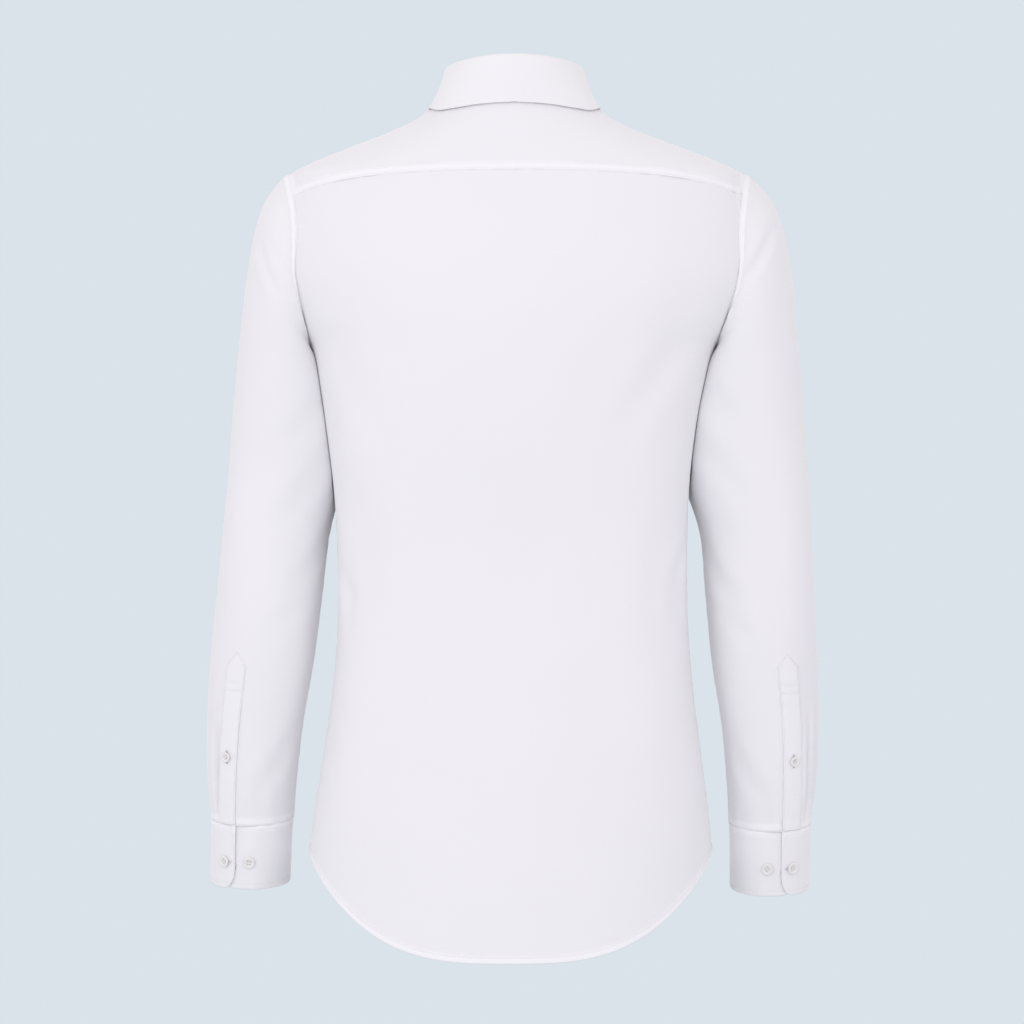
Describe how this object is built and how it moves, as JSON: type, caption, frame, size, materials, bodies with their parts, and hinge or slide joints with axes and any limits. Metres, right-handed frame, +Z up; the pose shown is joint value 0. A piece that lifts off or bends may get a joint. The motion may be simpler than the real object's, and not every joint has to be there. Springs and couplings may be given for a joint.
{
  "type": "long sleeve dress shirt",
  "caption": "Slim long sleeve dress shirt, buttoned and filled out as worn, with a turned-down collar, back yoke, curved tails, placketed sleeves and buttoned cuffs.",
  "frame": {"origin": "centre of the neck opening at the height of the back collar seam, where the wearer's neck and shoulders hold the shirt", "axes": "+Z up along the wearer's back, -Y the wearer's front, +X the wearer's left"},
  "size_m": [0.5662, 0.2661, 0.8108],
  "materials": {
    "shirting": "matte",
    "button": "gloss"
  },
  "bodies": {
    "root": {"back": "shirting", "yoke": "shirting", "front_left": "shirting", "front_right": "shirting", "collar_band": "shirting", "collar_fall": "shirting", "sleeve_left": "shirting", "sleeve_right": "shirting", "cuff_left": "shirting", "cuff_right": "shirting", "placket_left": "shirting", "placket_right": "shirting", "front_button_1": "button", "front_button_2": "button", "front_button_3": "button", "front_button_4": "button", "front_button_5": "button", "front_button_6": "button", "front_button_7": "button", "collar_button": "button", "cuff_button_left_1": "button", "cuff_button_left_2": "button", "cuff_button_right_1": "button", "cuff_button_right_2": "button", "placket_button_left": "button", "placket_button_right": "button"}
  },
  "joints": []
}
